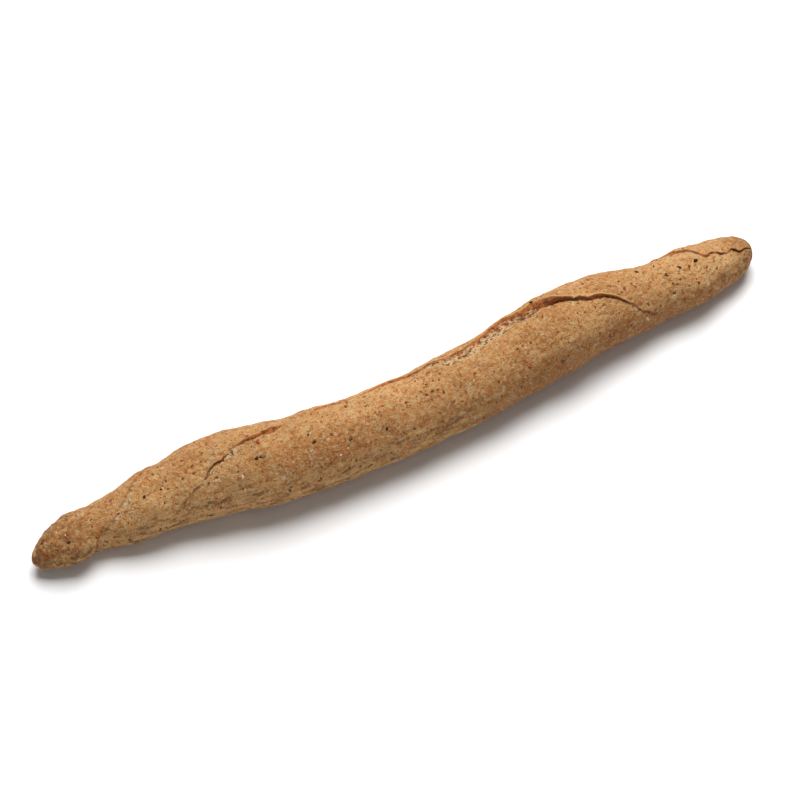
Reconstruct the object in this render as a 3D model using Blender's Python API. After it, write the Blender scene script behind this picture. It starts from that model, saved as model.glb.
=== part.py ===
"""A grissini breadstick: one piece of wholemeal dough, rolled and twisted by hand and baked lying on a tray.

Metres, +Z up. X runs along the stick and +Y is its back. The origin is on the tray, under the middle of the
stick's box. A place on the crust is (along, roll): along is a share of the length, and roll is an angle round
the section, 0 on top, positive towards the back.
"""

import math

import bmesh
import bpy
import numpy as np

MM = 0.001

# Driving sizes
LENGTH = 250 * MM
THICKEST = 26.8 * MM
SLUMP = 0.94  # height over width of the section, as the dough settles before it sets
TRAY_CUT = 1.1 * MM  # how far the tray flattens the round underside
LEFT_CAP, RIGHT_CAP = 0.062, 0.046  # shares of the length in which the two tips round off

# Thickness and sway of the rolled dough: (share of the length, thickness over THICKEST, sway to the back)
ROLLED = [
    (0.00, 0.47, 1.0 * MM),
    (0.03, 0.53, 1.8 * MM),
    (0.06, 0.57, 2.6 * MM),
    (0.072, 0.548, 3.3 * MM),
    (0.09, 0.56, 3.0 * MM),
    (0.12, 0.64, 1.6 * MM),
    (0.15, 0.745, 1.6 * MM),
    (0.178, 0.775, 1.6 * MM),
    (0.205, 0.85, 1.3 * MM),
    (0.24, 0.94, 0.4 * MM),
    (0.29, 0.98, -2.7 * MM),
    (0.34, 0.945, -4.3 * MM),
    (0.375, 0.94, -5.2 * MM),
    (0.41, 0.90, -5.95 * MM),
    (0.45, 0.905, -6.3 * MM),
    (0.50, 0.88, -6.1 * MM),
    (0.54, 0.905, -5.7 * MM),
    (0.59, 0.895, -5.1 * MM),
    (0.66, 0.92, -2.5 * MM),
    (0.72, 0.96, -1.0 * MM),
    (0.75, 0.91, 0.3 * MM),
    (0.78, 0.895, 0.8 * MM),
    (0.82, 0.80, 0.3 * MM),
    (0.85, 0.712, 0.1 * MM),
    (0.87, 0.718, 0.2 * MM),
    (0.90, 0.73, 0.4 * MM),
    (0.94, 0.63, 1.5 * MM),
    (0.97, 0.575, 2.1 * MM),
    (1.00, 0.575, 2.7 * MM),
]

# Unevenness left by the hands: (height, waves along the stick, waves round it, phase)
LUMPS = [
    (0.14 * MM, 7, 1, 0.4),
    (0.12 * MM, 11, -2, 2.1),
    (0.10 * MM, 19, 3, 4.0),
]

# Folds of the twisted strip, each a line on the crust that a flap ends at. The flap lies on the side of the
# larger roll. A row is (share of the length, roll in degrees, lip, crack, wall), in millimetres from lip on: how
# high the flap's edge stands, how deep the crack below it is, and how wide the face from the crack up to the edge
# is.
FOLDS = {
    "main": [
        (0.162, -80, 0.00, 0.00, 0.4),
        (0.187, -52, 0.15, 0.22, 0.4),
        (0.211, -36, 0.20, 0.30, 0.4),
        (0.226, -21, 0.25, 0.30, 0.4),
        (0.246, -10, 0.35, 0.40, 0.4),
        (0.262, -1, 0.05, 0.00, 0.5),
        (0.280, 9, 0.25, 0.25, 0.8),
        (0.314, 17, 0.50, 0.20, 1.4),
        (0.336, 21, 0.12, 0.02, 0.8),
        (0.360, 25, 0.10, 0.00, 0.8),
        (0.385, 38, 0.28, 0.06, 0.7),
        (0.400, 44, 0.32, 0.06, 0.7),
        (0.435, 40, 0.16, 0.00, 0.8),
        (0.472, 43, 0.36, 0.12, 0.9),
        (0.497, 44, 0.42, 0.15, 0.8),
        (0.536, 35, 0.50, 0.15, 0.9),
        (0.556, 28, 0.60, 0.18, 1.2),
        (0.583, 29, 0.70, 0.20, 1.5),
        (0.609, 35, 0.85, 0.20, 1.9),
        (0.634, 37, 1.05, 0.25, 2.3),
        (0.664, 30, 1.35, 0.70, 2.5),
        (0.695, 29, 1.15, 1.05, 2.0),
        (0.712, 21, 0.95, 0.70, 1.4),
        (0.738, 6, 0.72, 0.42, 0.8),
        (0.780, -15, 0.68, 0.35, 0.8),
        (0.801, -37, 0.38, 0.20, 0.5),
        (0.815, -58, 0.28, 0.15, 0.4),
        (0.832, -68, 0.22, 0.12, 0.4),
        (0.860, -94, 0.05, 0.10, 1.5),
        (0.895, -126, 0.00, 0.00, 3.0),
    ],
    "left_end": [
        (0.057, -128, 0.00, 0.00, 0.8),
        (0.072, -92, 0.60, 0.50, 0.8),
        (0.082, -60, 0.25, 0.10, 0.7),
        (0.105, -27, 0.16, 0.03, 0.5),
        (0.127, 6, 0.20, 0.05, 0.5),
        (0.160, 39, 0.28, 0.10, 0.8),
        (0.200, 98, 0.30, 0.35, 0.6),
        (0.228, 130, 0.20, 0.20, 0.6),
        (0.250, 148, 0.00, 0.00, 0.6),
    ],
    "right_end": [
        (0.785, 148, 0.00, 0.00, 0.6),
        (0.820, 118, 0.45, 0.30, 0.6),
        (0.850, 88, 0.40, 0.30, 0.6),
        (0.895, 36, 0.35, 0.12, 0.8),
        (0.911, 21, 0.30, 0.10, 0.7),
        (0.922, 1, 0.35, 0.14, 0.7),
        (0.949, -10, 0.35, 0.30, 0.7),
        (0.974, -20, 0.30, 0.60, 0.4),
        (1.000, -38, 0.20, 0.45, 0.4),
    ],
    "back": [
        (0.330, 140, 0.00, 0.00, 0.8),
        (0.375, 119, 0.45, 0.30, 1.6),
        (0.420, 108, 0.70, 0.40, 2.0),
        (0.470, 101, 0.90, 0.45, 2.2),
        (0.520, 104, 0.80, 0.40, 2.0),
        (0.570, 116, 0.50, 0.30, 1.6),
        (0.620, 134, 0.30, 0.20, 1.2),
        (0.660, 150, 0.00, 0.00, 0.6),
    ],
}
FLAP_REACH = 6.5 * MM  # how far behind its edge a flap is still lifted
DIP_REACH = 2.4 * MM  # how far from a crack the body still dips towards it
DIP_SHARE = 0.35  # depth of that dip, over the crack's
LIP_DIP = 0.7  # how much deeper it is under a tall flap, over the lip's height above LOW_LIP
LOW_LIP = 0.5 * MM
CRACK_WIDTH = 1.2 * MM
NARROWEST_WALL = 1.5 * MM  # the solid's sides are too long for a narrower one
FOLD_STEPS = 240  # straight steps that a fold's line is walked in

# Resolution of the solid
RINGS, SIDES = 104, 46
FINEST_SIDE = 0.42  # length of a side at the guide, over the mean side

CRUST_COLOUR = (0.50, 0.27, 0.11, 1.0)
CRUST_ROUGHNESS = 0.82


def spline(at, places, values):
    """A smooth curve through the given values, read at any places."""
    places, values = np.asarray(places, float), np.asarray(values, float)
    slopes = np.gradient(values, places)
    i = np.clip(np.searchsorted(places, at, side="right") - 1, 0, len(places) - 2)
    step = places[i + 1] - places[i]
    u = np.clip((at - places[i]) / step, 0, 1)
    start = (1 + 2 * u) * (1 - u) ** 2 * values[i] + u * (1 - u) ** 2 * step * slopes[i]
    end = u**2 * (3 - 2 * u) * values[i + 1] - u**2 * (1 - u) * step * slopes[i + 1]
    return start + end


def half_width(along):
    """Half the stick's width before its tips are rounded off."""
    places, shares, _ = zip(*ROLLED)
    return THICKEST / 2 * spline(along, places, shares)


def sway(along):
    places, _, offsets = zip(*ROLLED)
    return spline(along, places, offsets)


def cap(along):
    """1 along the stick, falling to 0 in a quarter ellipse at each tip."""
    left = np.clip(1 - along / LEFT_CAP, 0, 1)
    right = np.clip(1 - (1 - along) / RIGHT_CAP, 0, 1)
    return np.sqrt(1 - left**2) * np.sqrt(1 - right**2)


def lumps(along, roll):
    height = np.zeros_like(along)
    for size, waves_along, waves_round, phase in LUMPS:
        height += size * np.sin(math.tau * waves_along * along + waves_round * roll + phase)
    return height


def bell(distance, reach):
    """1 at no distance, falling off smoothly within the reach."""
    return np.exp(-((distance / reach) ** 2))


def between(value, low, high):
    """0 at low and below, 1 at high and above, smooth between."""
    share = np.clip((value - low) / (high - low), 0, 1)
    return share * share * (3 - 2 * share)


def fold_rise(name, along, roll):
    """How far a fold raises each place on the crust."""
    places, rolls, *sizes = (np.array(column, float) for column in zip(*FOLDS[name]))
    line = np.linspace(places[0], places[-1], FOLD_STEPS + 1)
    line_roll = np.radians(spline(line, places, rolls))
    radius = half_width(along)

    nearest = np.full(along.shape, np.inf)
    side = np.zeros_like(along)
    foot = np.zeros_like(along)
    for k in range(FOLD_STEPS):
        step_along = (line[k + 1] - line[k]) * LENGTH
        step_round = (line_roll[k + 1] - line_roll[k]) * half_width(line[k])
        stride = math.hypot(step_along, step_round)
        ahead = (step_along / stride, step_round / stride)
        turn = (roll - line_roll[k] + math.pi) % math.tau - math.pi
        offset_along, offset_round = (along - line[k]) * LENGTH, turn * radius
        walked = np.clip(offset_along * ahead[0] + offset_round * ahead[1], 0, stride)
        away = np.hypot(offset_along - walked * ahead[0], offset_round - walked * ahead[1])
        closer = away < nearest
        nearest[closer] = away[closer]
        side[closer] = (ahead[0] * offset_round - ahead[1] * offset_along)[closer]
        foot[closer] = (line[k] + (line[k + 1] - line[k]) * walked / stride)[closer]

    gap = np.where(side >= 0, nearest, -nearest)
    lip, crack, wall = (MM * np.interp(foot, places, size) for size in sizes)
    wall = np.maximum(wall, NARROWEST_WALL)
    dip = DIP_SHARE * crack + LIP_DIP * np.clip(lip - LOW_LIP, 0, None)
    body = -dip * bell(gap, DIP_REACH) - crack * bell(gap, CRACK_WIDTH)
    flap = lip * bell(gap - wall, FLAP_REACH)
    climb = np.clip(gap / wall, 0, 1) ** (0.8 + 1.2 * between(wall, 0.8 * MM, 1.8 * MM))
    face = -(dip + crack) + (dip + crack + lip) * climb
    return np.where(gap < 0, body, np.where(gap < wall, face, flap))


def skin(along, roll):
    """The crust's points at these shares of the length and rolls, cut flat where it lay on the tray."""
    radius, tip = half_width(along), cap(along)
    rise = lumps(along, roll) + sum(fold_rise(name, along, roll) for name in FOLDS)
    reach = (radius + rise) * tip
    x = (along - 0.5) * LENGTH
    y = sway(along) + reach * np.sin(roll)
    z = radius * SLUMP - TRAY_CUT + reach * SLUMP * np.cos(roll)
    return np.stack([x, y, np.maximum(z, 0)], axis=-1)


def even_rings(count):
    """Shares of the length that space rings evenly along the skin from tip to tip."""
    along = np.linspace(0, 1, 4001)
    steps = np.hypot(np.diff(along * LENGTH), np.diff(half_width(along) * cap(along)))
    walked = np.concatenate([[0], np.cumsum(steps)])
    return np.interp(np.linspace(0, walked[-1], count + 1), walked, along)


def roll_of(along, turn):
    """The roll of a mesh column, turn running from -1 to 1 round the stick. Column 0 follows the main fold, then
    the right tip's."""
    followed = [p for p in FOLDS["main"] if 0.25 <= p[0] <= 0.80]
    followed += [p for p in FOLDS["right_end"] if p[0] >= 0.88]
    places, rolls, *_ = zip(*followed)
    fold = np.radians(spline(np.clip(along, places[0], places[-1]), places, rolls))
    return fold + math.pi * (FINEST_SIDE * turn + (1 - FINEST_SIDE) * turn**3)


def breadstick():
    """A ball's skin, drawn out into the stick: each ring of latitude goes to its place along it."""
    mesh = bpy.data.meshes.new("breadstick")
    ball = bmesh.new()
    bmesh.ops.create_uvsphere(ball, u_segments=SIDES, v_segments=RINGS, radius=1)
    ball.verts.ensure_lookup_table()
    unit = np.array([v.co for v in ball.verts])
    ring = np.rint(np.arccos(np.clip(unit[:, 2], -1, 1)) / math.pi * RINGS).astype(int)
    along = even_rings(RINGS)[ring]
    turn = np.arctan2(unit[:, 1], unit[:, 0]) / math.pi
    points = skin(along, roll_of(along, turn))
    middle = (points.min(axis=0) + points.max(axis=0)) / 2
    points[:, :2] -= middle[:2]
    for vertex, point in zip(ball.verts, points):
        vertex.co = point
    bmesh.ops.triangulate(ball, faces=ball.faces)
    ball.to_mesh(mesh)
    ball.free()
    mesh.shade_smooth()
    return bpy.data.objects.new("breadstick", mesh)


def crust_material():
    material = bpy.data.materials.new("wholemeal_crust")
    material.use_nodes = True
    shader = material.node_tree.nodes["Principled BSDF"]
    shader.inputs["Base Color"].default_value = CRUST_COLOUR
    shader.inputs["Roughness"].default_value = CRUST_ROUGHNESS
    shader.inputs["Metallic"].default_value = 0.0
    return material


def main():
    for old in list(bpy.data.objects):
        bpy.data.objects.remove(old)
    parts = bpy.data.collections.new("grissini_breadstick")
    bpy.context.scene.collection.children.link(parts)
    stick = breadstick()
    stick.data.materials.append(crust_material())
    parts.objects.link(stick)


main()
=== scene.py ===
"""The looks of the grissini breadstick: its browned, folded wholemeal crust, the crumb torn open along its
main fold, and the bran in it.

Metres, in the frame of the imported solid. A place on the crust is (along, roll): along is a share of the
length, and roll is an angle round the section, 0 on top, positive towards the back. The rolled form is the
solid's, on a finer mesh. The folds run close to the solid's, with more detail along them.
"""

import math

import bmesh
import bpy
import numpy as np
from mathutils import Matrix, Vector, noise


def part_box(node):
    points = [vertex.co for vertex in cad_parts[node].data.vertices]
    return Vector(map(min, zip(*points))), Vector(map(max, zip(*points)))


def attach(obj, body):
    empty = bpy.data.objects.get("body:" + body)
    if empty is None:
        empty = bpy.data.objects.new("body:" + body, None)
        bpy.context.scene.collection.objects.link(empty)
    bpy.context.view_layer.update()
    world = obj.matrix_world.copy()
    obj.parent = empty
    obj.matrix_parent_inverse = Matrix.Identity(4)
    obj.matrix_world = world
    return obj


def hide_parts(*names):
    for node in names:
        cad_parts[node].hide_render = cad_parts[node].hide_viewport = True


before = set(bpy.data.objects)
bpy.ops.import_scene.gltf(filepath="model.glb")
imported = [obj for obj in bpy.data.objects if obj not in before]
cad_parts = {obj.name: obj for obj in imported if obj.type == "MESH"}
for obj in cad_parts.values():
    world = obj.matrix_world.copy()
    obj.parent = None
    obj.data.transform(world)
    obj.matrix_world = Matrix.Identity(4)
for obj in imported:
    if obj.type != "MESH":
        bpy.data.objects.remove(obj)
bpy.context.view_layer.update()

MM = 0.001
LOW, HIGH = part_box("breadstick")

# ---------------------------------------------------------------- Form: the solid's, with finer folds

LENGTH = HIGH.x - LOW.x
THICKEST = 0.1072 * LENGTH
SLUMP = 0.94  # height over width of the section, as the dough settles before it sets
TRAY_CUT = 1.1 * MM  # how far the tray flattens the round underside
LEFT_CAP, RIGHT_CAP = 0.062, 0.046  # shares of the length in which the two tips round off

# Thickness and sway of the rolled dough: (share of the length, thickness over THICKEST, sway to the back)
ROLLED = [
    (0.00, 0.47, 1.0 * MM),
    (0.03, 0.53, 1.8 * MM),
    (0.06, 0.57, 2.6 * MM),
    (0.072, 0.548, 3.3 * MM),
    (0.09, 0.56, 3.0 * MM),
    (0.12, 0.64, 1.6 * MM),
    (0.15, 0.745, 1.6 * MM),
    (0.178, 0.775, 1.6 * MM),
    (0.205, 0.85, 1.3 * MM),
    (0.24, 0.94, 0.4 * MM),
    (0.29, 0.98, -2.7 * MM),
    (0.34, 0.945, -4.3 * MM),
    (0.375, 0.94, -5.2 * MM),
    (0.41, 0.90, -5.95 * MM),
    (0.45, 0.905, -6.3 * MM),
    (0.50, 0.88, -6.1 * MM),
    (0.54, 0.905, -5.7 * MM),
    (0.59, 0.895, -5.1 * MM),
    (0.66, 0.92, -2.5 * MM),
    (0.72, 0.96, -1.0 * MM),
    (0.75, 0.91, 0.3 * MM),
    (0.78, 0.895, 0.8 * MM),
    (0.82, 0.80, 0.3 * MM),
    (0.85, 0.712, 0.1 * MM),
    (0.87, 0.718, 0.2 * MM),
    (0.90, 0.73, 0.4 * MM),
    (0.94, 0.63, 1.5 * MM),
    (0.97, 0.575, 2.1 * MM),
    (1.00, 0.575, 2.7 * MM),
]

# Unevenness left by the hands: (height, waves along the stick, waves round it, phase)
LUMPS = [
    (0.14 * MM, 7, 1, 0.4),
    (0.12 * MM, 11, -2, 2.1),
    (0.10 * MM, 19, 3, 4.0),
]

# Folds of the twisted strip, each a line on the crust that a flap ends at. The flap lies on the side of the
# larger roll. A row is (share of the length, roll in degrees, lip, crack, wall, crumb), in millimetres from
# lip on: how high the flap's edge stands, how deep the crack below it is, how wide the face from the crack up
# to the edge is, and how far the dough is torn open on the other side of the crack.
FOLDS = {
    "main": [
        (0.162, -80, 0.00, 0.00, 0.4, 0.0),
        (0.180, -59, 0.10, 0.15, 0.4, 0.0),
        (0.187, -52, 0.15, 0.24, 0.4, 0.0),
        (0.194, -48, 0.18, 0.27, 0.4, 0.0),
        (0.200, -43, 0.10, 0.03, 0.4, 0.0),
        (0.204, -38, 0.20, 0.28, 0.4, 0.2),
        (0.211, -36, 0.22, 0.32, 0.4, 0.3),
        (0.216, -33, 0.15, 0.06, 0.4, 0.6),
        (0.221, -26, 0.15, 0.00, 0.4, 0.6),
        (0.226, -21, 0.28, 0.34, 0.4, 0.8),
        (0.236, -13, 0.35, 0.46, 0.4, 0.8),
        (0.246, -10, 0.35, 0.38, 0.4, 0.8),
        (0.255, -6, 0.22, 0.22, 0.4, 1.0),
        (0.262, -1, 0.05, 0.00, 0.5, 1.5),
        (0.270, 4, 0.12, 0.25, 0.4, 1.2),
        (0.280, 9, 0.25, 0.45, 0.5, 0.8),
        (0.292, 12, 0.32, 0.42, 0.7, 0.6),
        (0.304, 15, 0.42, 0.30, 0.9, 0.6),
        (0.314, 17, 0.55, 0.46, 1.4, 0.5),
        (0.324, 20, 0.40, 0.28, 1.2, 0.4),
        (0.333, 21, 0.15, 0.02, 0.8, 0.3),
        (0.345, 21, 0.08, 0.00, 0.5, 0.4),
        (0.360, 25, 0.10, 0.00, 0.5, 0.0),
        (0.374, 31, 0.18, 0.02, 0.5, 0.0),
        (0.385, 38, 0.28, 0.06, 0.6, 0.0),
        (0.400, 44, 0.32, 0.06, 0.6, 0.0),
        (0.417, 42, 0.22, 0.02, 0.5, 0.0),
        (0.435, 40, 0.16, 0.00, 0.5, 0.0),
        (0.450, 39, 0.24, 0.05, 0.6, 0.0),
        (0.472, 43, 0.36, 0.12, 0.7, 0.0),
        (0.497, 44, 0.42, 0.15, 0.7, 0.3),
        (0.519, 41, 0.46, 0.15, 0.8, 0.8),
        (0.536, 35, 0.50, 0.15, 0.9, 1.4),
        (0.556, 28, 0.60, 0.18, 1.2, 2.2),
        (0.583, 29, 0.70, 0.20, 1.5, 2.7),
        (0.609, 35, 0.85, 0.20, 1.9, 2.8),
        (0.634, 37, 1.05, 0.25, 2.3, 3.0),
        (0.650, 34, 1.20, 0.40, 2.5, 3.0),
        (0.664, 30, 1.35, 0.70, 2.5, 2.6),
        (0.680, 30, 1.30, 1.05, 2.3, 2.0),
        (0.695, 29, 1.15, 1.05, 2.0, 1.3),
        (0.712, 21, 0.95, 0.80, 1.4, 0.8),
        (0.724, 15, 0.80, 0.60, 0.9, 0.5),
        (0.738, 6, 0.72, 0.45, 0.8, 0.5),
        (0.760, -5, 0.75, 0.42, 0.8, 0.4),
        (0.780, -15, 0.72, 0.42, 0.8, 0.4),
        (0.791, -25, 0.62, 0.40, 0.7, 0.4),
        (0.801, -35, 0.35, 0.25, 0.5, 0.4),
        (0.807, -43, 0.24, 0.12, 0.5, 0.6),
        (0.815, -53, 0.32, 0.30, 0.4, 0.3),
        (0.832, -68, 0.26, 0.24, 0.4, 0.2),
        (0.860, -94, 0.05, 0.10, 1.5, 0.0),
        (0.895, -126, 0.00, 0.00, 3.0, 0.0),
    ],
    "left_end": [
        (0.057, -128, 0.00, 0.00, 0.8, 0.0),
        (0.065, -110, 0.50, 0.50, 0.8, 0.0),
        (0.072, -92, 0.60, 0.60, 0.8, 0.0),
        (0.082, -60, 0.25, 0.10, 0.7, 0.0),
        (0.096, -42, 0.14, 0.03, 0.6, 0.4),
        (0.105, -27, 0.16, 0.03, 0.5, 0.7),
        (0.115, -9, 0.18, 0.04, 0.5, 1.0),
        (0.127, 6, 0.20, 0.05, 0.5, 1.1),
        (0.145, 24, 0.26, 0.05, 0.7, 0.9),
        (0.160, 39, 0.28, 0.10, 0.8, 0.3),
        (0.176, 60, 0.15, 0.15, 0.8, 0.0),
        (0.200, 98, 0.30, 0.35, 0.6, 0.4),
        (0.228, 130, 0.20, 0.20, 0.6, 0.2),
        (0.250, 148, 0.00, 0.00, 0.6, 0.0),
    ],
    "right_end": [
        (0.785, 148, 0.00, 0.00, 0.6, 0.0),
        (0.820, 118, 0.38, 0.35, 0.6, 0.5),
        (0.850, 88, 0.26, 0.12, 0.6, 0.4),
        (0.874, 55, 0.24, 0.08, 0.6, 0.1),
        (0.895, 36, 0.35, 0.12, 0.8, 0.2),
        (0.911, 21, 0.30, 0.10, 0.7, 0.3),
        (0.922, 1, 0.35, 0.14, 0.7, 0.3),
        (0.939, -3, 0.30, 0.15, 0.7, 0.2),
        (0.949, -10, 0.35, 0.40, 0.7, 0.2),
        (0.957, -12, 0.20, 0.12, 0.4, 0.1),
        (0.966, -9, 0.25, 0.52, 0.4, 0.0),
        (0.974, -22, 0.30, 0.62, 0.4, 0.0),
        (0.983, -20, 0.30, 0.52, 0.4, 0.0),
        (1.000, -38, 0.20, 0.40, 0.4, 0.0),
    ],
    "back": [
        (0.330, 140, 0.00, 0.00, 0.8, 0.0),
        (0.375, 119, 0.45, 0.50, 0.8, 0.5),
        (0.420, 108, 0.70, 0.80, 1.0, 1.2),
        (0.470, 101, 0.90, 0.90, 1.6, 1.8),
        (0.520, 104, 0.80, 0.80, 1.4, 1.4),
        (0.570, 116, 0.50, 0.60, 0.8, 0.6),
        (0.620, 134, 0.30, 0.40, 0.6, 0.3),
        (0.660, 150, 0.00, 0.00, 0.6, 0.0),
    ],
}
FLAP_REACH = 6.5 * MM  # how far behind its edge a flap is still lifted
LEAN_REACH = 2.5 * MM  # how far behind its edge it still leans out
DIP_REACH = 2.4 * MM  # how far from a crack the body still dips towards it
DIP_SHARE = 0.35  # depth of that dip, over the crack's
LIP_DIP = 0.7  # how much deeper it is under a tall flap, over the lip's height above LOW_LIP
LOW_LIP = 0.5 * MM
CRACK_WIDTH = 0.42 * MM


def spline(at, places, values):
    """A smooth curve through the given values, read at any places."""
    places, values = np.asarray(places, float), np.asarray(values, float)
    slopes = np.gradient(values, places)
    i = np.clip(np.searchsorted(places, at, side="right") - 1, 0, len(places) - 2)
    step = places[i + 1] - places[i]
    u = np.clip((at - places[i]) / step, 0, 1)
    start = (1 + 2 * u) * (1 - u) ** 2 * values[i] + u * (1 - u) ** 2 * step * slopes[i]
    end = u**2 * (3 - 2 * u) * values[i + 1] - u**2 * (1 - u) * step * slopes[i + 1]
    return start + end


def half_width(along):
    """Half the stick's width before its tips are rounded off."""
    places, shares, _ = zip(*ROLLED)
    return THICKEST / 2 * spline(along, places, shares)


def sway(along):
    places, _, offsets = zip(*ROLLED)
    return spline(along, places, offsets)


def cap(along):
    """1 along the stick, falling to 0 in a quarter ellipse at each tip."""
    left = np.clip(1 - along / LEFT_CAP, 0, 1)
    right = np.clip(1 - (1 - along) / RIGHT_CAP, 0, 1)
    return np.sqrt(1 - left**2) * np.sqrt(1 - right**2)


def lumps(along, roll):
    height = np.zeros_like(along)
    for size, waves_along, waves_round, phase in LUMPS:
        height += size * np.sin(math.tau * waves_along * along + waves_round * roll + phase)
    return height


def bell(distance, reach):
    """1 at no distance, falling off smoothly within the reach."""
    return np.exp(-((distance / reach) ** 2))


def between(value, low, high):
    """0 at low and below, 1 at high and above, smooth between."""
    share = np.clip((value - low) / (high - low), 0, 1)
    return share * share * (3 - 2 * share)


# ---------------------------------------------------------------- Fine form, seen only here

RINGS, SIDES = 490, 200
FINEST_SIDE = 0.38  # length of a side at the guide, over the mean side
# Where rings lie closer, as folds cross the stick steeply: (from, to, rings there over elsewhere)
CLOSER_RINGS = [(0.175, 0.26, 1.7), (0.79, 0.85, 1.7), (0.91, 1.0, 1.4)]
# Shares of the length where column 0 of the mesh follows the main fold, and from where it follows the right
# tip's
MAIN_GUIDE, TIP_GUIDE = (0.25, 0.80), 0.88
FOLD_STEPS = 300  # straight steps that a fold's line is walked in
RING_STEPS = 4000  # steps along the skin in which the rings' spacing is measured
RNG = np.random.default_rng(20)

# How ragged a fold's edge is: (wander of its line, length of one wander)
RAGGED = [(0.50 * MM, 6.5 * MM), (0.38 * MM, 2.4 * MM), (0.20 * MM, 1.0 * MM)]

# Unevenness of the skin: (height, size of one bump)
SKIN_BUMPS = [(0.18 * MM, 12 * MM), (0.21 * MM, 4.2 * MM), (0.17 * MM, 1.9 * MM), (0.09 * MM, 0.9 * MM)]
ROUGHER = 1.8  # how much rougher the toasted tips are, in their bumps finer than FINE_BUMP
FINE_BUMP = 5 * MM
# The oven toasts the left tip in full, fading by this share of the length, and the right one less, from this
# share
LEFT_TOAST, RIGHT_TOAST, RIGHT_TOASTED = 0.105, 0.95, 0.5

RIM = 0.16 * MM  # how far a flap's very edge turns up
RIM_WIDTH = 0.40 * MM
RIM_LIPS = (0.1 * MM, 0.6 * MM)  # the lips from which an edge starts to turn up, and turns up in full
OVERHANG = 0.35  # how far a steep flap leans over its crack, over its lip
STEEP_WALL, LEANING_WALL = 0.9 * MM, 2.2 * MM
# Walls from the narrow, which climb almost straight, to the wide, which start flat and steepen
STRAIGHT_WALL, HOLLOW_WALL = 0.8 * MM, 1.8 * MM
STRAIGHT_CLIMB, HOLLOW_CLIMB = 0.8, 2.0  # the powers that they climb by

# How much paler the crust is than elsewhere, or darker if below 0, partly from the oven's browning and partly
# painted light and shade, as the darker low front of the right half is painted shade: (share of the length, on
# the crest, in front, low in front). The back is as the crest is, and all of it fades out to the bottom.
BROWNING_AND_PAINTED_LIGHT = [
    (0.03, 0.30, -1.10, 1.00),
    (0.08, 0.17, -0.10, 0.45),
    (0.15, 0.22, 1.00, 0.85),
    (0.25, 0.18, 0.52, 1.05),
    (0.34, 0.20, -0.60, 0.80),
    (0.45, 0.80, -0.45, 0.30),
    (0.55, 0.27, -0.12, 0.10),
    (0.65, 0.10, -0.10, -1.10),
    (0.75, 0.35, 0.55, -1.20),
    (0.84, 0.30, -0.10, -1.00),
    (0.89, 0.80, 1.30, -0.95),
    (0.95, 0.45, 1.30, -0.75),
    (0.98, -0.55, 0.25, -0.45),
]

# Rolls in degrees over which one of those becomes the next, and over which, to either side, they fade out
LOW_TO_FRONT, FRONT_TO_CREST, LOW_TO_BOTTOM = (-64, -44), (-22, 4), (130, 172)

PITS = 640
TIP_PITS, TIP_SHARE = 70, 0.11  # more of them, on the left tip
PIT_RADIUS = (0.30 * MM, 0.80 * MM)
PIT_DEPTH = (0.10 * MM, 0.45 * MM)

WRINKLES = 34
WRINKLE_PLACE, WRINKLE_ROLL = (0.2, 0.8), (62, 108)  # shares of the length, and degrees to either side
WRINKLE_SLANT = 0.12
WRINKLE_LENGTH = (4 * MM, 13 * MM)
WRINKLE_WIDTH = 0.42 * MM
WRINKLE_DEPTH = 0.20 * MM

TORN_FACE = 0.68  # how far up a flap's face its crumb shows, over the face
CRUMB_PORE = 1.1 * MM  # spacing of the open pores in torn crumb
CRUMB_RELIEF = 0.30 * MM

MAP_MARGIN = 0.006


def guide(along):
    """The roll that mesh column 0 follows: the main fold, then the right tip's."""
    followed = [p for p in FOLDS["main"] if MAIN_GUIDE[0] <= p[0] <= MAIN_GUIDE[1]]
    followed += [p for p in FOLDS["right_end"] if p[0] >= TIP_GUIDE]
    places, rolls, *_ = zip(*followed)
    return np.radians(spline(np.clip(along, places[0], places[-1]), places, rolls))


def even_rings(count):
    """Shares of the length that space rings evenly along the skin, and closer where CLOSER_RINGS says."""
    along = np.linspace(0, 1, RING_STEPS + 1)
    steps = np.hypot(np.diff(along * LENGTH), np.diff(half_width(along) * cap(along)))
    for start, end, closer in CLOSER_RINGS:
        steps[(along[1:] > start) & (along[1:] < end)] *= closer
    walked = np.concatenate([[0], np.cumsum(steps)])
    return np.interp(np.linspace(0, walked[-1], count + 1), walked, along)


def wander(at, size, seed):
    """Smooth noise from -1 to 1, of one bump per size, at points in metres. Each seed reads it elsewhere."""
    offset = Vector((seed * 17.3, seed * 5.1, seed * 9.7))
    return np.array([noise.noise(Vector(p) / size + offset) for p in at])


def fold_field(name, along, roll, ragged):
    """Signed distance to a fold's line, positive on its flap, the direction across it and its sizes there."""
    places, rolls, *sizes = (np.array(column, float) for column in zip(*FOLDS[name]))
    line = np.linspace(places[0], places[-1], FOLD_STEPS + 1)
    line_roll = np.radians(spline(line, places, rolls))
    radius = half_width(along)

    nearest = np.full(along.shape, np.inf)
    side = np.zeros_like(along)
    foot = np.zeros_like(along)
    across = np.zeros(along.shape + (2,))
    for k in range(FOLD_STEPS):
        step_along = (line[k + 1] - line[k]) * LENGTH
        step_round = (line_roll[k + 1] - line_roll[k]) * half_width(line[k])
        stride = math.hypot(step_along, step_round)
        ahead = (step_along / stride, step_round / stride)
        turn = (roll - line_roll[k] + math.pi) % math.tau - math.pi
        offset_along, offset_round = (along - line[k]) * LENGTH, turn * radius
        walked = np.clip(offset_along * ahead[0] + offset_round * ahead[1], 0, stride)
        away = np.hypot(offset_along - walked * ahead[0], offset_round - walked * ahead[1])
        closer = away < nearest
        nearest[closer] = away[closer]
        side[closer] = (ahead[0] * offset_round - ahead[1] * offset_along)[closer]
        foot[closer] = (line[k] + (line[k + 1] - line[k]) * walked / stride)[closer]
        across[closer] = (-ahead[1], ahead[0])
    gap = np.where(side >= 0, nearest, -nearest) + ragged
    return gap, across, [MM * np.interp(foot, places, size) for size in sizes]


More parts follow.
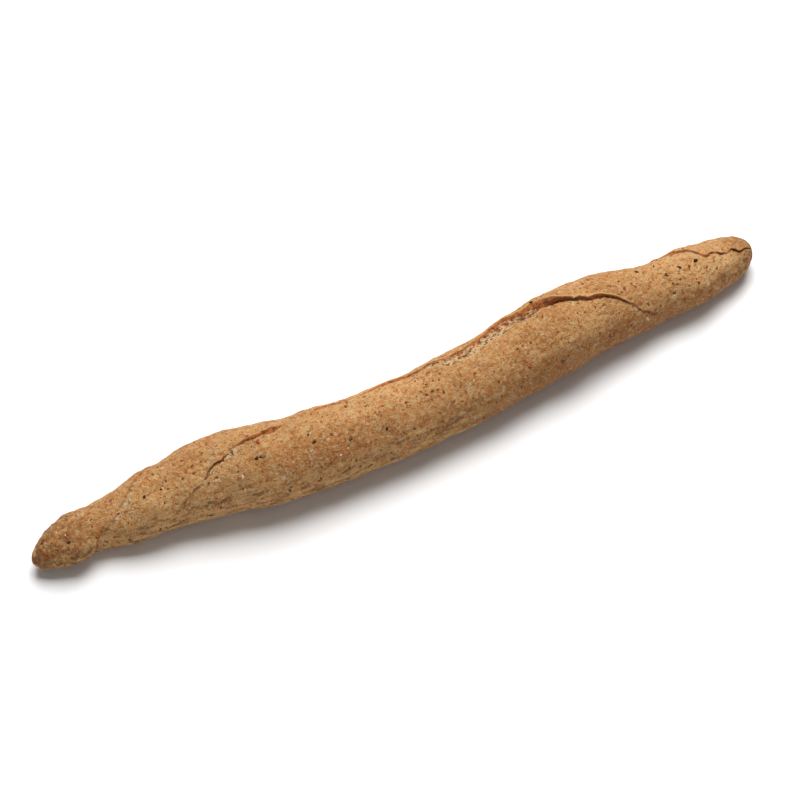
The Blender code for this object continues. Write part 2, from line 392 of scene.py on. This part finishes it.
def fold_relief(gap, lip, crack, wall):
    """How far a fold raises the crust at that distance from its line."""
    dip = DIP_SHARE * crack + LIP_DIP * np.clip(lip - LOW_LIP, 0, None)
    rim = RIM * between(lip, *RIM_LIPS)
    body = -dip * bell(gap, DIP_REACH) - crack * bell(gap, CRACK_WIDTH)
    flap = lip * bell(gap - wall, FLAP_REACH) + rim * bell(gap - wall, RIM_WIDTH)
    hollow = between(wall, STRAIGHT_WALL, HOLLOW_WALL)
    climb = np.clip(gap / wall, 0, 1) ** (STRAIGHT_CLIMB + (HOLLOW_CLIMB - STRAIGHT_CLIMB) * hollow)
    face = -(dip + crack) + (dip + crack + lip + rim) * climb
    return np.where(gap < 0, body, np.where(gap < wall, face, flap))


def fold_lean(gap, lip, wall):
    """How far a fold's edge leans out over its crack."""
    steep = between(wall, LEANING_WALL, STEEP_WALL)
    behind = bell(np.clip(gap - wall, 0, None), LEAN_REACH)
    return -OVERHANG * steep * lip * np.clip(gap / wall, 0, 1) * behind


def scattered(count):
    """Random places on the crust, even over its area: (along, roll)."""
    return RNG.uniform(0.01, 0.99, count), RNG.uniform(-math.pi, math.pi, count)


def offsets_from(place, along, roll):
    """Distances along the stick and round it from a place on the crust."""
    turn = (roll - place[1] + math.pi) % math.tau - math.pi
    return (along - place[0]) * LENGTH, turn * half_width(along)


def pits(along, roll):
    """Small round pits where bubbles and grains lay at the surface."""
    depth = np.zeros_like(along)
    places, rolls = scattered(PITS + TIP_PITS)
    places[:TIP_PITS] *= TIP_SHARE
    for place in zip(places, rolls):
        radius, deep = RNG.uniform(*PIT_RADIUS), RNG.uniform(*PIT_DEPTH)
        near = np.abs(along - place[0]) * LENGTH < 4 * radius
        x, y = offsets_from(place, along[near], roll[near])
        depth[near] += deep * np.exp(-((x**2 + y**2) / radius**2))
    return -depth


def wrinkles(along, roll):
    """Short shallow creases along the stick, on its lower sides, where the skin dried slack."""
    depth = np.zeros_like(along)
    for _ in range(WRINKLES):
        side = RNG.choice([-1, 1])
        place = (RNG.uniform(*WRINKLE_PLACE), side * math.radians(RNG.uniform(*WRINKLE_ROLL)))
        length, slant = RNG.uniform(*WRINKLE_LENGTH), RNG.uniform(-WRINKLE_SLANT, WRINKLE_SLANT)
        near = np.abs(along - place[0]) * LENGTH < length
        x, y = offsets_from(place, along[near], roll[near])
        lengthwise, crosswise = (x / length * 2) ** 4, ((y - slant * x) / WRINKLE_WIDTH) ** 2
        depth[near] += WRINKLE_DEPTH * np.exp(-lengthwise - crosswise)
    return -depth


def paleness_and_painted_light(along, roll):
    """How much paler the crust is, partly less browned and partly painted light; below 0 darker, partly more
    browned and partly painted shade.
    """
    places, *levels = zip(*BROWNING_AND_PAINTED_LIGHT)
    crest, front, low = (np.interp(along, places, level) for level in levels)
    turned = (roll + math.pi) % math.tau - math.pi
    onto_front = between(turned, *np.radians(LOW_TO_FRONT))
    onto_crest = between(turned, *np.radians(FRONT_TO_CREST))
    side = low + (front - low) * onto_front
    return (side + (crest - side) * onto_crest) * (1 - between(np.abs(turned), *np.radians(LOW_TO_BOTTOM)))


def crust_points(along, roll):
    """The crust's points, and its masks by name, at these shares of the length and rolls."""
    radius, tip = half_width(along), cap(along)
    axis = np.stack([(along - 0.5) * LENGTH, sway(along), radius * SLUMP - TRAY_CUT], axis=-1)
    outward = np.stack([np.zeros_like(along), np.sin(roll), SLUMP * np.cos(roll)], axis=-1)
    smooth = axis + outward * (radius * tip)[:, None]

    ragged = sum(far * wander(smooth, size, 3 + i) for i, (far, size) in enumerate(RAGGED))
    toast = 1 - between(along, 0.0, LEFT_TOAST) + RIGHT_TOASTED * between(along, RIGHT_TOAST, 1.0)
    toast = np.clip(toast, 0, 1)
    rise = lumps(along, roll)
    for i, (height, size) in enumerate(SKIN_BUMPS):
        rise += height * (1 + ROUGHER * toast * (size < FINE_BUMP)) * wander(smooth, size, 11 + i)
    rise += pits(along, roll) + wrinkles(along, roll)

    slide_along, slide_round = np.zeros_like(along), np.zeros_like(along)
    masks = {name: np.zeros_like(along) for name in ("crumb", "wall", "edge", "crevice_shade")} | {"toast": toast}
    for name in FOLDS:
        gap, across, (lip, crack, wall, crumb) = fold_field(name, along, roll, ragged)
        rise += fold_relief(gap, lip, crack, wall)
        lean = fold_lean(gap, lip, wall)
        slide_along += lean * across[:, 0]
        slide_round += lean * across[:, 1]
        # Crumb shows from the crack out to where it tore, and up the face of a wide tear
        torn = crumb * (1 + 0.5 * ragged / RAGGED[0][0])
        bared = TORN_FACE * wall * between(crumb, 0.8 * MM, 1.8 * MM)
        masks["crumb"] += (
            between(torn, 0, 0.5 * MM)
            * between(gap, -torn - 0.5 * MM, -torn + 0.3 * MM)
            * between(gap, bared + 0.2 * MM, bared - 0.2 * MM)
        )
        face = between(gap, -0.2 * MM, 0.1 * MM) * (gap < wall + 0.1 * MM)
        masks["wall"] += between(lip, 0.05 * MM, 0.35 * MM) * face
        # A painted highlight along the flap's very edge
        masks["edge"] += between(lip, 0.15 * MM, 0.7 * MM) * bell(gap - wall - 0.12 * MM, 0.26 * MM)
        # Painted shade in the cracks: a deep crack is dark over more of its width, and up onto its wall
        deep = between(crack, 0.30 * MM, 0.90 * MM)
        shade = bell(gap + 0.05 * MM - 0.40 * MM * deep, 0.27 * MM + 0.30 * MM * deep)
        masks["crevice_shade"] += between(crack, 0.18 * MM, 0.70 * MM) * shade
    rise -= np.clip(masks["crumb"], 0, 1) * CRUMB_RELIEF * between(wander(smooth, CRUMB_PORE, 31), 0.0, 0.5)

    reach = (radius + rise) * tip
    angle = roll + slide_round * tip / radius
    out = [slide_along * tip, reach * np.sin(angle), reach * SLUMP * np.cos(angle)]
    points = axis + np.stack(out, axis=-1)
    points[:, 2] = np.maximum(points[:, 2], 0)

    masks["low"] = 1 - points[:, 2] / (2 * radius * SLUMP)
    # Paler and darker places: partly browning, partly painted light and shade
    masks["pale"] = paleness_and_painted_light(along, roll)
    masks["tanned_and_shaded"] = -masks["pale"]
    return points, {name: np.clip(mask, 0, 1) for name, mask in masks.items()}


def crust_mesh():
    """A ball's skin, drawn out into the stick: each ring of latitude goes to its place along it. It comes with
    the place of each of its corners."""
    ball = bmesh.new()
    bmesh.ops.create_uvsphere(ball, u_segments=SIDES, v_segments=RINGS, radius=1)
    mesh = bpy.data.meshes.new("crust")
    bmesh.ops.triangulate(ball, faces=ball.faces)
    ball.to_mesh(mesh)
    ball.free()

    unit = np.empty(len(mesh.vertices) * 3)
    mesh.vertices.foreach_get("co", unit)
    unit = unit.reshape(-1, 3)
    ring = np.rint(np.arccos(np.clip(unit[:, 2], -1, 1)) / math.pi * RINGS).astype(int)
    along = even_rings(RINGS)[ring]
    turn = np.arctan2(unit[:, 1], unit[:, 0]) / math.pi
    offset = math.pi * (FINEST_SIDE * turn + (1 - FINEST_SIDE) * turn**3)
    roll = guide(along) + offset
    points, masks = crust_points(along, roll)
    middle = (points.min(axis=0) + points.max(axis=0)) / 2
    points[:, 0] += (LOW.x + HIGH.x) / 2 - middle[0]
    points[:, 1] += (LOW.y + HIGH.y) / 2 - middle[1]
    mesh.vertices.foreach_set("co", points.ravel())
    for name, mask in masks.items():
        mesh.attributes.new(name, "FLOAT", "POINT").data.foreach_set("value", mask)
    lay_out(mesh, ring / RINGS, offset / math.tau + 0.5)
    mesh.shade_smooth()
    mesh.update()
    return mesh, along, roll


def lay_out(mesh, walked, turned):
    """The map that the materials are baked through: the stick's two halves, cut along the underside, one
    above the other."""
    corner = np.empty(len(mesh.loops), int)
    mesh.loops.foreach_get("vertex_index", corner)
    u, v = walked[corner].reshape(-1, 3), turned[corner].reshape(-1, 3)
    v = np.where((v < 0.25) & (v.max(axis=1, keepdims=True) > 0.75), v + 1, v)
    right = u.mean(axis=1, keepdims=True) > 0.5
    u = MAP_MARGIN + (1 - 2 * MAP_MARGIN) * np.where(right, 2 * u - 1, 2 * u)
    v = MAP_MARGIN + (0.5 - 2 * MAP_MARGIN) * v + np.where(right, 0.5, 0)
    layer = mesh.uv_layers.new(name="OFBake")
    layer.uv.foreach_set("vector", np.stack([u, v], axis=-1).astype(np.float32).ravel())


# ---------------------------------------------------------------- Materials


def srgb(red, green, blue):
    """A colour named by its screen values from 0 to 255, as the shader takes it."""
    screen = np.array([red, green, blue]) / 255
    linear = np.where(screen <= 0.04045, screen / 12.92, ((screen + 0.055) / 1.055) ** 2.4)
    return (*linear.tolist(), 1.0)


class Graph:
    """One material's nodes. Each call adds a node and returns the socket that the next one reads."""

    def __init__(self, name):
        self.material = bpy.data.materials.new(name)
        self.material.use_nodes = True
        self.tree = self.material.node_tree
        self.shader = self.tree.nodes["Principled BSDF"]

    def feed(self, socket, value):
        if isinstance(value, bpy.types.NodeSocket):
            self.tree.links.new(value, socket)
        else:
            socket.default_value = value

    def node(self, kind, settings=None, **inputs):
        made = self.tree.nodes.new("ShaderNode" + kind)
        for name, value in (settings or {}).items():
            setattr(made, name, value)
        for name, value in inputs.items():
            self.feed(made.inputs[name.replace("_", " ")], value)
        return made

    def place(self, stretch=1.0):
        """The point on the object in millimetres, with the stick's length divided by stretch."""
        at = self.node("TexCoord").outputs["Object"]
        scale = (1000 / stretch, 1000, 1000)
        return self.node("Mapping", Vector=at, Scale=scale).outputs["Vector"]

    def shift(self, at, far):
        """The same point moved far off, where noise is unlike that at the point itself."""
        return self.node("Mapping", Vector=at, Location=(far, far, far)).outputs["Vector"]

    def mask(self, name):
        return self.node("Attribute", {"attribute_name": name}).outputs["Fac"]

    def noise(self, at, size, detail=2.0, rough=0.5):
        """Noise from 0 to 1 with bumps of that size in millimetres."""
        made = self.node("TexNoise", Vector=at, Scale=1 / size, Detail=detail, Roughness=rough)
        return made.outputs["Fac"]

    def math(self, operation, first, second):
        made = self.node("Math", {"operation": operation})
        self.feed(made.inputs[0], first)
        self.feed(made.inputs[1], second)
        return made.outputs["Value"]

    def times(self, first, second):
        return self.math("MULTIPLY", first, second)

    def less(self, value):
        """What is left of 1."""
        return self.math("SUBTRACT", 1.0, value)

    def ramp(self, value, low, high):
        """0 at low, 1 at high, smooth between and held outside. It falls if low is the greater."""
        settings = {"interpolation_type": "SMOOTHSTEP"}
        made = self.node("MapRange", settings, Value=value, From_Min=low, From_Max=high)
        return made.outputs["Result"]

    def mix(self, base, top, share):
        made = self.node("Mix", {"data_type": "RGBA"})
        self.feed(made.inputs[0], share)
        self.feed(made.inputs[6], base)
        self.feed(made.inputs[7], top)
        return made.outputs[2]

    def specks(self, at, spacing, share, radius, softness=0.35):
        """Specks of about that radius, one in some share of the cells of that spacing, in millimetres."""
        cells = self.node("TexVoronoi", Vector=at, Scale=1 / spacing, Randomness=1.0)
        chance = self.node("SeparateColor", Color=cells.outputs["Color"])
        present = self.math("LESS_THAN", chance.outputs["Red"], share)
        size = self.math("MULTIPLY_ADD", chance.outputs["Green"], radius / spacing)
        size.node.inputs[2].default_value = 0.4 * radius / spacing
        inner = self.times(size, 1 - softness)
        made = self.node("MapRange", {"interpolation_type": "SMOOTHSTEP"}, Value=cells.outputs["Distance"])
        self.feed(made.inputs["From Min"], size)
        self.feed(made.inputs["From Max"], inner)
        return self.times(made.outputs["Result"], present)


def crust_material():
    """The crust, from its broad browning, with painted light and shade in it, to its grains, in millimetres.
    Masks come from crust_points.
    """
    g = Graph("wholemeal_crust")
    at = g.place()
    # Places bent by a swirl, so that no grain comes out round
    swirl = g.node("TexNoise", Vector=at, Scale=1 / 1.3, Detail=2.0).outputs["Color"]
    bent = g.node("VectorMath", {"operation": "MULTIPLY_ADD"})
    g.feed(bent.inputs[0], swirl)
    g.feed(bent.inputs[1], (1.4, 1.4, 1.4))
    g.feed(bent.inputs[2], at)
    bent = bent.outputs["Vector"]

    patches = g.noise(at, 15, 2.0)
    mottle = g.noise(bent, 4.2, 2.0, 0.6)
    russet = g.noise(bent, 1.1, 1.5, 0.5)
    rust = g.noise(g.shift(bent, 30), 2.3, 2.0, 0.6)
    sandy = g.noise(g.shift(bent, 40), 1.0, 2.0, 0.6)
    floury = g.noise(g.shift(bent, 70), 3.4, 2.0, 0.6)
    tint = g.noise(g.shift(bent, 120), 1.6, 3.0, 0.65)
    fine = g.noise(g.shift(at, 80), 0.5, 2.0, 0.6)
    streaks = g.noise(g.place(4.5), 1.7, 3.0, 0.6)

    # Baked dough, in patches and mottles
    colour = g.mix(srgb(190, 141, 87), srgb(175, 124, 71), g.ramp(patches, 0.36, 0.66))
    colour = g.mix(colour, srgb(152, 100, 52), g.times(g.ramp(mottle, 0.50, 0.68), 0.65))
    colour = g.mix(colour, srgb(200, 156, 100), g.times(g.ramp(mottle, 0.48, 0.32), 0.50))
    # Paler and darker places, partly the oven's browning and partly painted light and shade; then its paler
    # lower edge, and its base, browned by the tray
    colour = g.mix(colour, srgb(228, 179, 120), g.times(g.mask("pale"), 0.58))
    colour = g.mix(colour, srgb(148, 92, 49), g.times(g.mask("tanned_and_shaded"), 0.50))
    clear_of_tan_and_shade = g.less(g.mask("tanned_and_shaded"))
    # The paler lower edge: partly less browned, partly painted light bounced up off the floor
    lower = g.times(g.ramp(g.mask("low"), 0.60, 0.80), clear_of_tan_and_shade)
    colour = g.mix(colour, srgb(204, 162, 104), g.times(lower, 0.45))
    base = g.ramp(g.mask("low"), 0.80, 0.96)
    colour = g.mix(colour, srgb(160, 106, 58), g.times(base, g.ramp(mottle, 0.30, 0.58)))
    # Streaks drawn along the stick on its sides
    lean = g.times(g.times(g.ramp(g.mask("low"), 0.12, 0.38), clear_of_tan_and_shade), g.less(base))
    colour = g.mix(colour, srgb(106, 80, 49), g.times(g.times(g.ramp(streaks, 0.52, 0.61), lean), 0.78))
    colour = g.mix(colour, srgb(224, 186, 130), g.times(g.times(g.ramp(streaks, 0.47, 0.36), lean), 0.78))
    # Meal and flour in the skin, and bran ground into it
    colour = g.mix(colour, srgb(208, 168, 114), g.times(g.ramp(sandy, 0.54, 0.68), 0.70))
    colour = g.mix(colour, srgb(214, 190, 152), g.times(g.ramp(floury, 0.62, 0.74), 0.60))
    colour = g.mix(colour, srgb(186, 110, 54), g.times(g.ramp(tint, 0.50, 0.66), 0.50))
    colour = g.mix(colour, srgb(200, 168, 124), g.times(g.ramp(tint, 0.50, 0.34), 0.50))
    rust = g.times(g.ramp(russet, 0.52, 0.68), g.ramp(rust, 0.30, 0.60))
    colour = g.mix(colour, srgb(158, 84, 42), g.times(rust, 0.75))
    # Fine grain, then specks: red bran, dull bran, flour, and bran drawn out along the sides
    colour = g.mix(colour, srgb(92, 50, 26), g.times(g.ramp(fine, 0.44, 0.28), 0.74))
    colour = g.mix(colour, srgb(228, 198, 150), g.times(g.ramp(fine, 0.60, 0.76), 0.60))
    red_bran = g.specks(bent, 2.3, 0.50, 0.50, 0.55)
    colour = g.mix(colour, srgb(96, 44, 22), g.times(red_bran, 0.85))
    dull_bran = g.specks(g.shift(bent, 20), 4.4, 0.35, 0.65, 0.8)
    colour = g.mix(colour, srgb(100, 86, 60), g.times(dull_bran, 0.65))
    flour = g.specks(g.shift(bent, 90), 5.0, 0.35, 0.42, 0.6)
    colour = g.mix(colour, srgb(236, 210, 178), g.times(flour, 0.65))
    drawn = g.specks(g.shift(g.place(2.4), 150), 2.4, 0.45, 0.55, 0.6)
    colour = g.mix(colour, srgb(84, 54, 32), g.times(g.times(drawn, lean), 0.85))

    # The tips' toasting, then the folds: torn crumb and its pores, painted dark as shaded, the baked face, a
    # painted highlight along its edge, and painted shade in the crevice
    toasted = g.times(g.mask("toast"), g.ramp(g.noise(bent, 2.2, 3.0, 0.65), 0.34, 0.58))
    colour = g.mix(colour, srgb(98, 56, 28), g.times(toasted, 0.58))
    crumb = g.times(g.mask("crumb"), g.ramp(g.noise(bent, 1.1, 3.0, 0.7), 0.40, 0.58))
    colour = g.mix(colour, srgb(212, 188, 146), g.times(crumb, 0.85))
    # The torn crumb's open pores: dips in the bump, painted dark as the shade in them
    pores = g.times(g.mask("crumb"), g.ramp(g.noise(g.shift(g.place(1.3), 55), 1.1, 2.0), 0.52, 0.62))
    colour = g.mix(colour, srgb(112, 54, 26), g.times(pores, 0.90))
    baked = g.mix(srgb(192, 106, 48), srgb(126, 62, 32), g.ramp(g.noise(bent, 1.6, 3.0, 0.65), 0.40, 0.60))
    face = g.times(g.mask("wall"), g.less(crumb))
    colour = g.mix(colour, baked, g.times(face, 0.85))
    # A painted highlight along each flap's edge
    colour = g.mix(colour, srgb(228, 180, 118), g.times(g.mask("edge"), 0.70))
    # Painted shade darkening each crack
    colour = g.mix(colour, srgb(84, 40, 18), g.times(g.mask("crevice_shade"), 0.90))
    g.feed(g.shader.inputs["Base Color"], colour)

    dull = g.node("MapRange", Value=sandy, From_Min=0.3, From_Max=0.7, To_Min=0.88, To_Max=0.68)
    g.feed(g.shader.inputs["Roughness"], dull.outputs["Result"])
    g.feed(g.shader.inputs["Specular IOR Level"], 0.15)

    grain = g.math("SUBTRACT", g.noise(at, 1.1, 5.0, 0.7), g.times(g.ramp(russet, 0.53, 0.66), 0.10))
    height = g.math("SUBTRACT", grain, g.times(pores, 0.25))
    relief = g.node("Bump", Height=height, Strength=1.0, Distance=1.1 * MM)
    g.feed(g.shader.inputs["Normal"], relief.outputs["Normal"])
    return g.material


def bran_material(name, dark, light, roughness):
    g = Graph(name)
    at = g.place()
    tone = g.ramp(g.noise(at, 2.3, 2.0), 0.35, 0.65)
    colour = g.mix(srgb(*dark), srgb(*light), tone)
    colour = g.mix(colour, srgb(*dark), g.ramp(g.noise(at, 0.35, 2.0), 0.55, 0.35))
    g.feed(g.shader.inputs["Base Color"], colour)
    g.feed(g.shader.inputs["Roughness"], roughness)
    g.feed(g.shader.inputs["Specular IOR Level"], 0.1)
    relief = g.node("Bump", Height=g.noise(at, 0.3, 2.0), Strength=1.0, Distance=0.2 * MM)
    g.feed(g.shader.inputs["Normal"], relief.outputs["Normal"])
    return g.material


# ---------------------------------------------------------------- Pieces


def add_piece(name, mesh, material):
    mesh.materials.append(material)
    piece = bpy.data.objects.new(name, mesh)
    bpy.context.scene.collection.objects.link(piece)
    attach(piece, "root")
    return piece


# Kinds of bran: name: (count, length from, length to, width over length, thickness over width, share sunk)
BRAN = {
    "bran_dark": (26, 0.45 * MM, 1.50 * MM, 0.70, 0.35, 0.60),
    "bran_brown": (115, 0.45 * MM, 1.40 * MM, 0.65, 0.30, 0.60),
    "bran_red": (420, 0.50 * MM, 1.90 * MM, 0.60, 0.22, 0.55),
    "bran_pale": (260, 0.40 * MM, 1.30 * MM, 0.60, 0.30, 0.45),
}
# Their looks: (dark colour, light colour, roughness)
BRAN_LOOKS = {
    "bran_dark": ((52, 30, 18), (144, 110, 80), 0.9),
    "bran_brown": ((98, 60, 36), (140, 108, 78), 0.9),
    "bran_red": ((132, 62, 34), (176, 98, 56), 0.85),
    "bran_pale": ((198, 160, 118), (232, 206, 172), 0.85),
}
# The largest dark grains, each set where it shows: (share of the length, roll in degrees, length)
LARGE_GRAINS = [
    (0.046, -31, 2.2 * MM),
    (0.019, 17, 1.7 * MM),
    (0.149, -12, 1.4 * MM),
    (0.169, -13, 1.2 * MM),
    (0.227, -80, 1.3 * MM),
    (0.2855, -18, 1.6 * MM),
    (0.2940, -17, 2.4 * MM),
    (0.311, -78, 1.7 * MM),
    (0.355, -5, 1.3 * MM),
    (0.359, -18, 1.5 * MM),
    (0.401, -29, 1.9 * MM),
    (0.399, -65, 1.7 * MM),
    (0.447, -33, 1.4 * MM),
    (0.454, -64, 1.2 * MM),
    (0.516, 3, 1.2 * MM),
    (0.537, -38, 1.3 * MM),
    (0.690, -65, 1.9 * MM),
    (0.689, 43, 1.7 * MM),
    (0.834, 28, 1.9 * MM),
    (0.865, -3, 1.9 * MM),
    (0.884, -2, 1.8 * MM),
    (0.864, -42, 1.8 * MM),
    (0.907, -4, 1.7 * MM),
]
# Pale chips of crust that have lifted
LARGE_CHIPS = [
    (0.818, -72, 2.0 * MM),
    (0.300, -45, 1.6 * MM),
    (0.262, -40, 1.7 * MM),
]


FLAKE_SIZE = (1.3, 2.6)  # the beta distribution between a kind's least and greatest length: most are short
FLAKE_WIDTH = (0.75, 1.25)  # spread of a flake's width
FLAKE_CORNER = (0.70, 1.30)  # and of how far each of its corners stands out
TRAY_CLEARANCE = 0.4 * MM  # no scattered flake is set lower than this


def flake():
    """The corners and triangles of one rounded grain, about 1 across."""
    ball = bmesh.new()
    bmesh.ops.create_icosphere(ball, subdivisions=1, radius=0.5)
    corners = np.array([v.co for v in ball.verts])
    faces = np.array([[v.index for v in f.verts] for f in ball.faces])
    ball.free()
    return corners, faces


def bran_mesh(name, crust, spots):
    """Flakes of bran in the crust, each turned its own way. Spots are the large ones: (vertex, length)."""
    count, shortest, longest, narrow, thin, sunk = BRAN[name]
    corners, faces = flake()
    places = np.empty(len(crust.vertices) * 3)
    crust.vertices.foreach_get("co", places)
    places = places.reshape(-1, 3)
    normals = np.array([v.normal for v in crust.vertices])
    size = np.zeros(len(crust.vertices))
    triangles = np.empty(len(crust.polygons) * 3, int)
    crust.polygons.foreach_get("vertices", triangles)
    area = np.empty(len(crust.polygons))
    crust.polygons.foreach_get("area", area)
    np.add.at(size, triangles, np.repeat(area, 3))
    size[places[:, 2] < TRAY_CLEARANCE] = 0
    chosen = RNG.choice(len(places), count, replace=False, p=size / size.sum())
    spots = spots + [(spot, shortest + (longest - shortest) * RNG.beta(*FLAKE_SIZE)) for spot in chosen]

    points, shapes = [], []
    for spot, length in spots:
        width = length * narrow * RNG.uniform(*FLAKE_WIDTH)
        height = width * thin
        grain = corners * RNG.uniform(*FLAKE_CORNER, corners.shape) * (length, width, height)
        up = Vector(normals[spot])
        ahead = up.orthogonal().normalized()
        beside = up.cross(ahead)
        twist = RNG.uniform(0, math.tau)
        first = ahead * math.cos(twist) + beside * math.sin(twist)
        second = up.cross(first)
        shapes.append(faces + len(points) * len(corners))
        centre = places[spot] + np.array(up) * height * (0.5 - sunk)
        points.append(centre + grain @ np.array([first, second, up]))
    mesh = bpy.data.meshes.new(name)
    mesh.from_pydata(np.concatenate(points), [], np.concatenate(shapes).tolist())
    mesh.shade_smooth()
    return mesh


def build_breadstick():
    """The crust, and each kind of bran as one piece, its large flakes where they are listed."""
    crust, along, roll = crust_mesh()
    piece = add_piece("crust", crust, crust_material())
    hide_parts("breadstick")
    for name, (dark, light, roughness) in BRAN_LOOKS.items():
        large = []
        for share, degrees, length in {"bran_dark": LARGE_GRAINS, "bran_pale": LARGE_CHIPS}.get(name, []):
            x, y = offsets_from((share, math.radians(degrees)), along, roll)
            large.append((int(np.argmin(np.hypot(x, y))), length))
        flakes = bran_mesh(name, crust, large)
        add_piece(name, flakes, bran_material(name, dark, light, roughness))


# ---------------------------------------------------------------- Floor, light and camera


FLOOR_REACH = 3.0  # from its middle to each side
FLOOR_GAP = 0.02 * MM  # how far below the stick it lies


def floor():
    mesh = bpy.data.meshes.new("floor")
    sheet = bmesh.new()
    bmesh.ops.create_grid(sheet, x_segments=1, y_segments=1, size=FLOOR_REACH)
    sheet.to_mesh(mesh)
    sheet.free()
    g = Graph("white_paper")
    g.feed(g.shader.inputs["Base Color"], (0.92, 0.92, 0.92, 1.0))
    g.feed(g.shader.inputs["Roughness"], 0.9)
    g.feed(g.shader.inputs["Specular IOR Level"], 0.1)
    mesh.materials.append(g.material)
    ground = bpy.data.objects.new("floor", mesh)
    ground.location.z = -FLOOR_GAP
    bpy.context.scene.collection.objects.link(ground)


VIEW_AZIMUTH, VIEW_ELEVATION = math.radians(-26.8), math.radians(58)
LENS, SENSOR = 120.0, 36.0
VIEW_WIDTH = 0.2458  # metres across the view at the stick
OFF_CENTRE = -3.4 * MM  # how far right of the stick's middle the camera looks
OFF_BACK = -0.25 * MM  # and how far behind it
SURROUND, SURROUND_STRENGTH = (1.0, 0.98, 0.96, 1.0), 0.14
# Lamps: name: (width and height, power, azimuth, elevation, distance), in metres and watts
LAMPS = {
    "key": ((0.8, 0.8), 17.0, VIEW_AZIMUTH + math.pi, math.radians(61.5), 1.0),
    "front": ((1.0, 0.4), 1.35, VIEW_AZIMUTH, math.radians(22), 1.0),
}


def towards(azimuth, elevation):
    """The direction from the object at an azimuth, 0 in front and positive to the right, and elevation."""
    flat = math.cos(elevation)
    return Vector((math.sin(azimuth) * flat, -math.cos(azimuth) * flat, math.sin(elevation)))


def aim(thing, place, target):
    thing.location = place
    thing.rotation_euler = (target - place).to_track_quat("-Z", "Y").to_euler()


def area_light(name, size, power, azimuth, elevation, distance):
    light = bpy.data.lights.new(name, "AREA")
    light.shape = "RECTANGLE"
    light.size, light.size_y = size
    light.energy = power
    lamp = bpy.data.objects.new(name, light)
    bpy.context.scene.collection.objects.link(lamp)
    centre = (LOW + HIGH) / 2
    aim(lamp, centre + towards(azimuth, elevation) * distance, centre)


def studio():
    scene = bpy.context.scene
    world = bpy.data.worlds.new("studio")
    world.use_nodes = True
    background = world.node_tree.nodes["Background"]
    background.inputs["Color"].default_value = SURROUND
    background.inputs["Strength"].default_value = SURROUND_STRENGTH
    scene.world = world
    scene.view_settings.view_transform = "Standard"
    for name, settings in LAMPS.items():
        area_light(name, *settings)


def camera():
    data = bpy.data.cameras.new("camera")
    data.lens, data.sensor_width = LENS, SENSOR
    seen = bpy.data.objects.new("camera", data)
    bpy.context.scene.collection.objects.link(seen)
    centre = (LOW + HIGH) / 2
    target = centre + Vector((math.cos(VIEW_AZIMUTH), math.sin(VIEW_AZIMUTH), 0)) * OFF_CENTRE
    target.y += OFF_BACK
    back = towards(VIEW_AZIMUTH, VIEW_ELEVATION)
    aim(seen, target + back * (VIEW_WIDTH * LENS / SENSOR), target)
    bpy.context.scene.camera = seen


build_breadstick()
floor()
studio()
camera()
